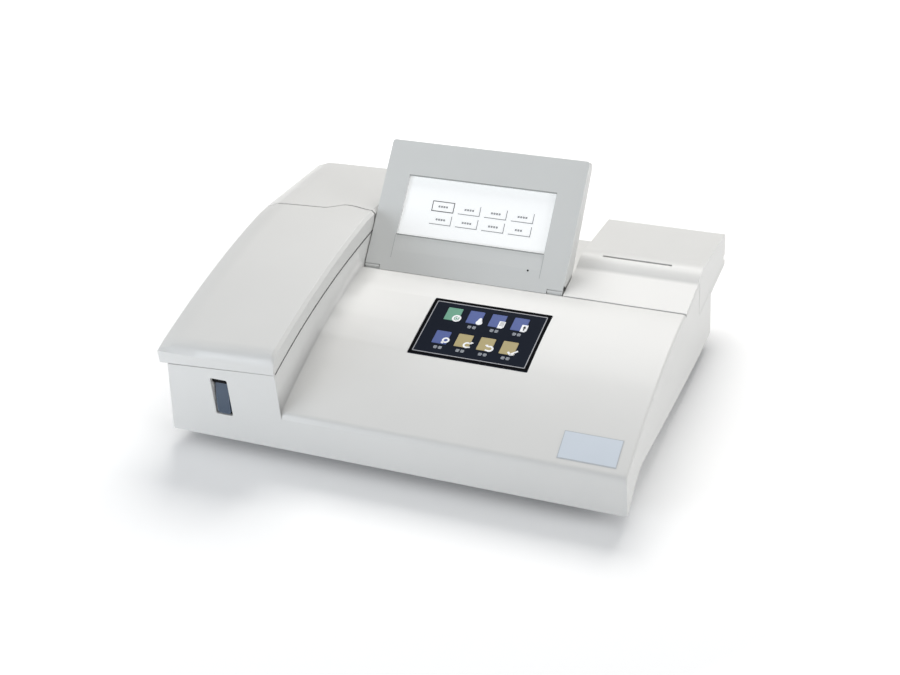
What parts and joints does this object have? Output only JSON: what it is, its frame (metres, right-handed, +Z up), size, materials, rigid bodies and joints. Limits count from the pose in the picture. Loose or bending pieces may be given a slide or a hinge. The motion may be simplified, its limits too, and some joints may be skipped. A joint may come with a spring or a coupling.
{
  "type": "benchtop chemistry analyzer",
  "caption": "Benchtop chemistry analyzer with domed left lid, tilting screen, film keypad, front trigger and thermal printer under a hinged cover.",
  "frame": {"origin": "middle of the footprint, on the table", "axes": "+Z up, +X to the operator's right, -Y towards the operator"},
  "size_m": [0.42, 0.3244, 0.1772],
  "materials": {
    "case_white": "fine matt moulded texture",
    "bezel_grey": "satin grey",
    "black_plastic": "matt black",
    "navy_film": "satin printed film",
    "green_film": "satin printed film",
    "blue_film": "satin printed film",
    "tan_film": "satin printed film",
    "trigger_blue": "satin dark blue",
    "glass": "clear display face",
    "rubber": "matt rubber",
    "steel": "plain bright steel",
    "black_metal": "black satin coat",
    "aluminium": "machined aluminium",
    "circuit_green": "solder mask",
    "paper": "paper roll, matt",
    "gear_white": "natural acetal",
    "brass": "machined brass"
  },
  "bodies": {
    "base": {"main_case": "case_white", "lid_hinge_rod": "steel", "cover_hinge_rod": "steel", "keypad_plate": "navy_film", "screen_hinge_left": "steel", "screen_hinge_right": "steel", "trigger_guide": "case_white", "trigger_switch": "black_plastic", "rear_panel": "black_metal", "power_inlet": "black_plastic", "switch_frame": "black_plastic", "serial_port": "steel", "waste_spout": "gear_white", "fan_frame": "black_plastic", "bottom_tray": "black_plastic", "foot_front_left": "rubber", "foot_front_right": "rubber", "foot_rear_left": "rubber", "foot_rear_right": "rubber", "main_board": "circuit_green", "power_supply": "aluminium", "optical_bench": "aluminium", "lamp_house": "black_metal", "lens_tube": "black_metal", "filter_motor": "steel", "flow_cell": "aluminium", "detector": "black_plastic", "pump_housing": "gear_white", "pump_motor": "steel", "paper_tray": "black_plastic", "printer_frame": "steel", "print_head": "aluminium", "printer_motor": "steel"},
    "lid": {"left_lid": "case_white"},
    "cover": {"printer_cover": "case_white"},
    "screen": {"screen_bezel": "bezel_grey", "screen_display": "glass", "screen_back": "case_white"},
    "trigger": {"aspirate_trigger": "trigger_blue"},
    "rocker": {"power_rocker": "black_plastic"},
    "fan": {"fan_rotor": "black_plastic"},
    "wheel": {"filter_wheel": "black_metal"},
    "rotor": {"pump_rotor": "gear_white"},
    "roller_1": {"pump_roller_1": "steel"},
    "roller_2": {"pump_roller_2": "steel"},
    "roller_3": {"pump_roller_3": "steel"},
    "platen": {"platen_roller": "rubber", "platen_gear": "gear_white"},
    "idler": {"idler_gear": "gear_white"},
    "pinion": {"motor_pinion": "brass"},
    "paper": {"paper_roll": "paper", "paper_spindle": "gear_white"},
    "key_lamp": {"key_lamp": "blue_film"},
    "key_left": {"key_left": "tan_film"},
    "key_right": {"key_right": "tan_film"},
    "key_confirm": {"key_confirm": "tan_film"},
    "key_power": {"key_power": "green_film"},
    "key_wash": {"key_wash": "blue_film"},
    "key_print": {"key_print": "blue_film"},
    "key_exit": {"key_exit": "blue_film"}
  },
  "joints": [
    {"name": "lid_hinge", "type": "hinge", "parent": "base", "child": "lid", "pos_m": [0, 0.09975, 0.11], "axis": [-1, 0, 0], "range_deg": [0, 55]},
    {"name": "cover_hinge", "type": "hinge", "parent": "base", "child": "cover", "pos_m": [0, 0.15775, 0.0652], "axis": [-1, 0, 0], "range_deg": [0, 75]},
    {"name": "screen_tilt", "type": "hinge", "parent": "base", "child": "screen", "pos_m": [0.0005, 0.02439, 0.08992], "axis": [1, 0, 0], "range_deg": [-43.9, 15]},
    {"name": "key_lamp_press", "type": "slide", "parent": "base", "child": "key_lamp", "axis": [0, 0.1692, -0.9856], "range_m": [0, 0.0005], "stiffness_N_per_m": 600},
    {"name": "key_left_press", "type": "slide", "parent": "base", "child": "key_left", "axis": [0, 0.1692, -0.9856], "range_m": [0, 0.0005], "stiffness_N_per_m": 600},
    {"name": "key_right_press", "type": "slide", "parent": "base", "child": "key_right", "axis": [0, 0.1692, -0.9856], "range_m": [0, 0.0005], "stiffness_N_per_m": 600},
    {"name": "key_confirm_press", "type": "slide", "parent": "base", "child": "key_confirm", "axis": [0, 0.1692, -0.9856], "range_m": [0, 0.0005], "stiffness_N_per_m": 600},
    {"name": "key_power_press", "type": "slide", "parent": "base", "child": "key_power", "axis": [0, 0.1692, -0.9856], "range_m": [0, 0.0005], "stiffness_N_per_m": 600},
    {"name": "key_wash_press", "type": "slide", "parent": "base", "child": "key_wash", "axis": [0, 0.1692, -0.9856], "range_m": [0, 0.0005], "stiffness_N_per_m": 600},
    {"name": "key_print_press", "type": "slide", "parent": "base", "child": "key_print", "axis": [0, 0.1692, -0.9856], "range_m": [0, 0.0005], "stiffness_N_per_m": 600},
    {"name": "key_exit_press", "type": "slide", "parent": "base", "child": "key_exit", "axis": [0, 0.1692, -0.9856], "range_m": [0, 0.0005], "stiffness_N_per_m": 600},
    {"name": "trigger_press", "type": "hinge", "parent": "base", "child": "trigger", "pos_m": [-0.1535, -0.15545, 0.0735], "axis": [1, 0, 0], "range_deg": [0, 8], "stiffness_Nm_per_rad": 0.05, "springref_deg": -2.86},
    {"name": "rocker_tilt", "type": "hinge", "parent": "base", "child": "rocker", "pos_m": [0.092, 0.10925, 0.0365], "axis": [-1, 0, 0], "range_deg": [0, 18]},
    {"name": "fan_spin", "type": "hinge", "parent": "base", "child": "fan", "pos_m": [-0.12, 0.10615, 0.0365], "axis": [0, 1, 0], "continuous": true},
    {"name": "filter_wheel_spin", "type": "hinge", "parent": "base", "child": "wheel", "pos_m": [-0.1545, -0.02275, 0.067], "axis": [0, 1, 0], "continuous": true},
    {"name": "pump_spin", "type": "hinge", "parent": "base", "child": "rotor", "pos_m": [-0.122, -0.12025, 0.0633], "axis": [0, 0, 1], "continuous": true},
    {"name": "roller_1_spin", "type": "hinge", "parent": "rotor", "child": "roller_1", "pos_m": [-0.122, -0.12925, 0.0651], "axis": [0, 0, 1], "continuous": true},
    {"name": "roller_2_spin", "type": "hinge", "parent": "rotor", "child": "roller_2", "pos_m": [-0.11421, -0.11575, 0.0651], "axis": [0, 0, 1], "continuous": true},
    {"name": "roller_3_spin", "type": "hinge", "parent": "rotor", "child": "roller_3", "pos_m": [-0.12979, -0.11575, 0.0651], "axis": [0, 0, 1], "continuous": true},
    {"name": "platen_spin", "type": "hinge", "parent": "base", "child": "platen", "pos_m": [0.15, 0.07775, 0.084], "axis": [1, 0, 0], "continuous": true},
    {"name": "idler_spin", "type": "hinge", "parent": "base", "child": "idler", "pos_m": [0.1843, 0.07775, 0.0688], "axis": [1, 0, 0], "continuous": true},
    {"name": "pinion_spin", "type": "hinge", "parent": "base", "child": "pinion", "pos_m": [0.1843, 0.09036, 0.06658], "axis": [1, 0, 0], "continuous": true},
    {"name": "paper_spin", "type": "hinge", "parent": "base", "child": "paper", "pos_m": [0.15, 0.04625, 0.056], "axis": [1, 0, 0], "continuous": true}
  ],
  "couplings": [
    {"joint": "roller_1_spin", "follows": "pump_spin", "ratio": -3.5},
    {"joint": "roller_2_spin", "follows": "pump_spin", "ratio": -3.5},
    {"joint": "roller_3_spin", "follows": "pump_spin", "ratio": -3.5},
    {"joint": "idler_spin", "follows": "platen_spin", "ratio": -0.9},
    {"joint": "pinion_spin", "follows": "platen_spin", "ratio": 1.5}
  ]
}
